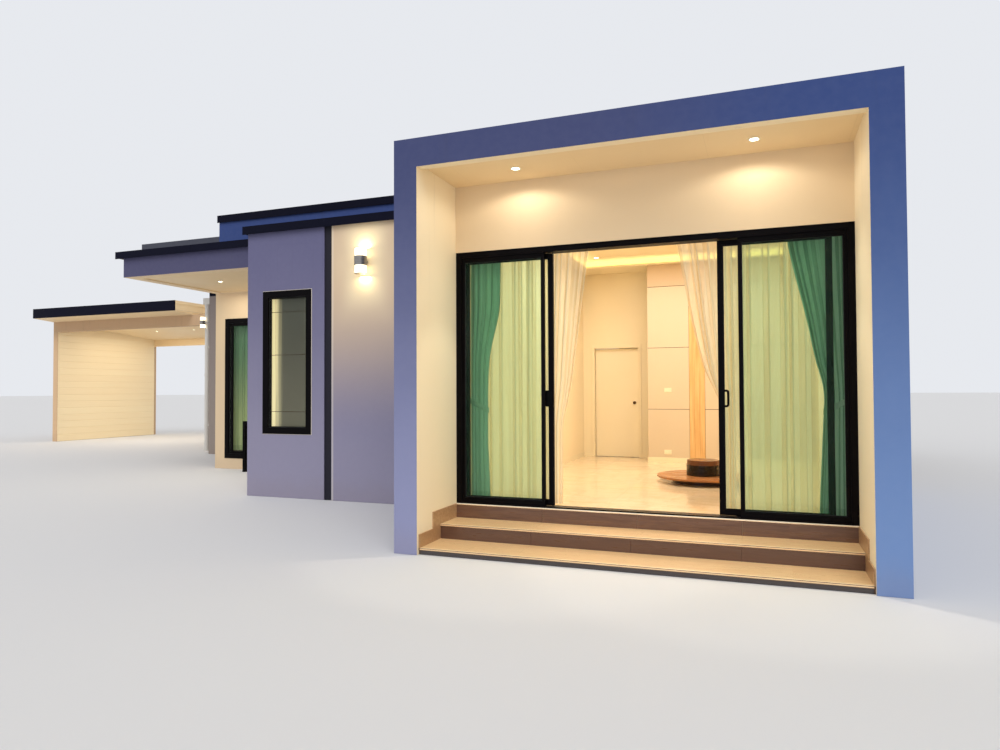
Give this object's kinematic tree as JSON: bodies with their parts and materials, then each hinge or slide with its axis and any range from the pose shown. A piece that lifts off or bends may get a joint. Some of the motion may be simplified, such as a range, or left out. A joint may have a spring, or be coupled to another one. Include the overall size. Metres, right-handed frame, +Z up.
{
  "type": "bungalow",
  "caption": "Flat-roofed bungalow with a framed glazed portal, sliding doors and steps, a side wing, a porch under a canopy and an open carport.",
  "frame": {"origin": "middle of the overall footprint, on the ground", "axes": "+X to the right along the street front, +Y to the rear, +Z up; the portal faces -Y"},
  "size_m": [22.775, 14.3, 5.21],
  "materials": {
    "portal_render": "smooth render, matt",
    "wing_render": "smooth render, matt",
    "grey_render": "smooth render, matt",
    "cream_render": "smooth render, matt",
    "parapet_render": "smooth render, matt",
    "groove_board": "matt",
    "dark_metal": "satin, folded sheet",
    "roof_membrane": "matt",
    "cream_board": "painted board, matt",
    "black_frame": "powder coated, satin",
    "black_fitting": "powder coated, satin",
    "clear_glass": "clear, gloss",
    "step_tile": "wood-look tile, satin",
    "skirting_tile": "wood-look tile, satin",
    "floor_finish": "polished tile",
    "inner_plaster": "painted plaster, matt",
    "white_door": "painted, satin",
    "wall_panel": "large polished panels",
    "warm_wood": "oiled, satin",
    "green_fabric": "sheer weave",
    "dark_wood": "stained, satin",
    "white_fabric": "sheer weave",
    "lamp_metal": "satin",
    "lit_diffuser": "lit diffuser",
    "white_pipe": "satin",
    "carport_render": "smooth render, matt"
  },
  "bodies": {
    "house": {"portal_left_wall": "portal_render", "portal_right_wall": "portal_render", "portal_roof": "portal_render", "portal_soffit": "cream_board", "door_header_wall": "cream_render", "door_frame": "black_frame", "fixed_leaves": "black_frame", "fixed_glass": "clear_glass", "lower_step": "step_tile", "upper_step": "step_tile", "step_skirting": "skirting_tile", "floor_slab": "floor_finish", "wing_front_wall": "wing_render", "groove_strip": "groove_board", "wing_left_wall": "wing_render", "wing_roof": "roof_membrane", "wing_cap": "dark_metal", "window_frames": "black_frame", "window_glass": "clear_glass", "porch_wall": "cream_render", "porch_canopy": "parapet_render", "canopy_soffit": "cream_board", "canopy_cap": "dark_metal", "porch_rail": "black_fitting", "main_left_wall": "wing_render", "rear_wing_front_wall": "grey_render", "rear_wing_left_wall": "wing_render", "rear_wall": "wing_render", "right_side_wall": "wing_render", "parapet_wall": "parapet_render", "parapet_cap": "dark_metal", "roof_band": "dark_metal", "main_roof": "dark_metal", "partition_left": "inner_plaster", "partition_right": "inner_plaster", "partition_over_door": "inner_plaster", "feature_wall": "wall_panel", "wood_strip": "warm_wood", "room_ceiling": "cream_board", "low_table": "dark_wood", "tied_drapes": "green_fabric", "sheer_curtains": "white_fabric", "porch_curtain": "green_fabric", "wall_lamps": "lamp_metal", "downlights": "lit_diffuser", "rainwater_pipe": "white_pipe", "carport_roof": "carport_render", "carport_fascia": "dark_metal", "carport_frame": "carport_render", "carport_boarded_wall": "warm_wood", "carport_lintel": "carport_render"},
    "left_door_leaf": {"sliding_leaf_left": "black_frame", "sliding_glass_left": "clear_glass", "pull_handle_left": "black_fitting"},
    "right_door_leaf": {"sliding_leaf_right": "black_frame", "sliding_glass_right": "clear_glass", "pull_handle_right": "black_fitting"},
    "inner_door_leaf": {"inner_door": "white_door"}
  },
  "joints": [
    {"name": "left_leaf_slide", "type": "slide", "parent": "house", "child": "left_door_leaf", "axis": [1, 0, 0], "range_m": [0, 0.869]},
    {"name": "right_leaf_slide", "type": "slide", "parent": "house", "child": "right_door_leaf", "axis": [-1, 0, 0], "range_m": [-0.112, 0.757]},
    {"name": "inner_door_swing", "type": "hinge", "parent": "house", "child": "inner_door_leaf", "pos_m": [7.176, -0.342, 0.347], "axis": [0, 0, 1], "range_deg": [0, 90]}
  ]
}
